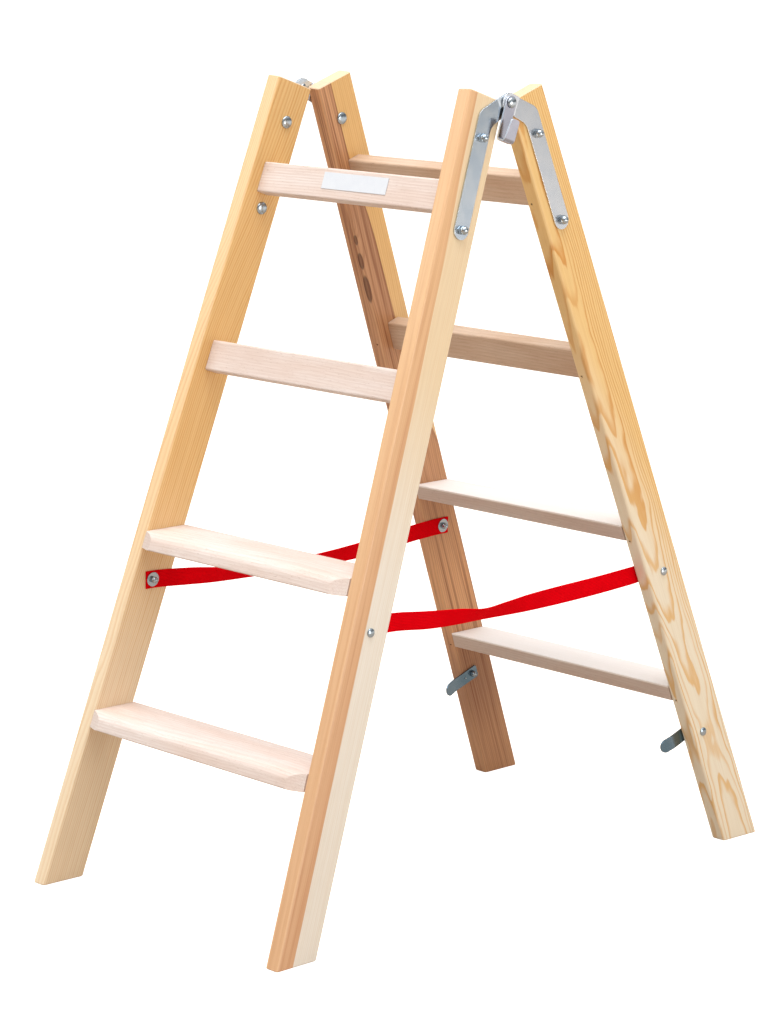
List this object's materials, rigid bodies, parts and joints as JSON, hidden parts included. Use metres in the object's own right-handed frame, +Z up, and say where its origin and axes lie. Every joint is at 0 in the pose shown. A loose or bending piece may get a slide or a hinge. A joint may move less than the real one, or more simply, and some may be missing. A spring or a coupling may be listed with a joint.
{
  "type": "double-sided wooden stepladder",
  "caption": "Wooden A-frame ladder with hinged climbing frames on both sides, upper rungs, lower level treads, red spreader straps and a bucket hook.",
  "frame": {"origin": "on the floor, straight below the hinge axis, halfway between left and right", "axes": "+Z up; X along the rungs with the bucket hook on the +X side; the front frame leans to -Y and the rear frame to +Y"},
  "size_m": [0.5646, 0.9938, 1.1903],
  "materials": {
    "pine_light": "clear lacquered softwood with close upright grain",
    "pine_cream": "clear lacquered softwood, cream with golden arched grain",
    "pine_heart": "clear lacquered softwood, cream with a brown heartwood band",
    "pine_brown": "clear lacquered softwood, brown heartwood and a light sapwood edge",
    "beech": "smooth pinkish hardwood with fine flecks",
    "zinc_steel": "bright zinc plate, slightly blue",
    "red_webbing": "tightly woven red webbing",
    "blank_label": "blank white paper sticker"
  },
  "bodies": {
    "front_frame": {"front_hinge_bolt_left_lower": "zinc_steel", "front_hinge_bolt_left_upper": "zinc_steel", "front_hinge_bolt_right_lower": "zinc_steel", "front_hinge_bolt_right_upper": "zinc_steel", "front_hinge_cap_nut_left_lower": "zinc_steel", "front_hinge_cap_nut_left_upper": "zinc_steel", "front_hinge_cap_nut_right_lower": "zinc_steel", "front_hinge_cap_nut_right_upper": "zinc_steel", "front_hinge_plate_left": "zinc_steel", "front_hinge_plate_right": "zinc_steel", "front_rung_1": "beech", "front_rung_2": "beech", "front_stile_left": "pine_light", "front_stile_right": "pine_heart", "front_strap_bolt_left": "zinc_steel", "front_strap_bolt_right": "zinc_steel", "front_strap_cap_nut_left": "zinc_steel", "front_strap_cap_nut_right": "zinc_steel", "front_strap_washer_left": "zinc_steel", "front_strap_washer_right": "zinc_steel", "front_tread_3": "beech", "front_tread_4": "beech", "hinge_rivet_left": "zinc_steel", "hinge_rivet_right": "zinc_steel", "rung_label": "blank_label", "strap_left": "red_webbing", "strap_right": "red_webbing"},
    "rear_frame": {"closing_guide_left": "zinc_steel", "closing_guide_right": "zinc_steel", "closing_guide_tack_left": "zinc_steel", "closing_guide_tack_right": "zinc_steel", "rear_guide_bolt_left": "zinc_steel", "rear_guide_bolt_right": "zinc_steel", "rear_guide_cap_nut_left": "zinc_steel", "rear_guide_cap_nut_right": "zinc_steel", "rear_hinge_bolt_left_lower": "zinc_steel", "rear_hinge_bolt_left_upper": "zinc_steel", "rear_hinge_bolt_right_lower": "zinc_steel", "rear_hinge_bolt_right_upper": "zinc_steel", "rear_hinge_cap_nut_left_lower": "zinc_steel", "rear_hinge_cap_nut_left_upper": "zinc_steel", "rear_hinge_cap_nut_right_lower": "zinc_steel", "rear_hinge_cap_nut_right_upper": "zinc_steel", "rear_hinge_plate_left": "zinc_steel", "rear_hinge_plate_right": "zinc_steel", "rear_rung_1": "beech", "rear_rung_2": "beech", "rear_stile_left": "pine_brown", "rear_stile_right": "pine_cream", "rear_strap_bolt_left": "zinc_steel", "rear_strap_bolt_right": "zinc_steel", "rear_strap_cap_nut_left": "zinc_steel", "rear_strap_cap_nut_right": "zinc_steel", "rear_strap_washer_left": "zinc_steel", "rear_strap_washer_right": "zinc_steel", "rear_tread_3": "beech", "rear_tread_4": "beech"},
    "bucket_hook": {"bucket_hook": "zinc_steel"}
  },
  "joints": [
    {"name": "frame_fold", "type": "hinge", "parent": "front_frame", "child": "rear_frame", "pos_m": [0, 0, 1.1675], "axis": [1, 0, 0], "range_deg": [-39, 0], "deforming": ["strap_left", "strap_right"]},
    {"name": "bucket_hook_swing", "type": "hinge", "parent": "front_frame", "child": "bucket_hook", "pos_m": [0.22857, 0, 1.1675], "axis": [1, 0, 0], "range_deg": [-71, 109]}
  ]
}
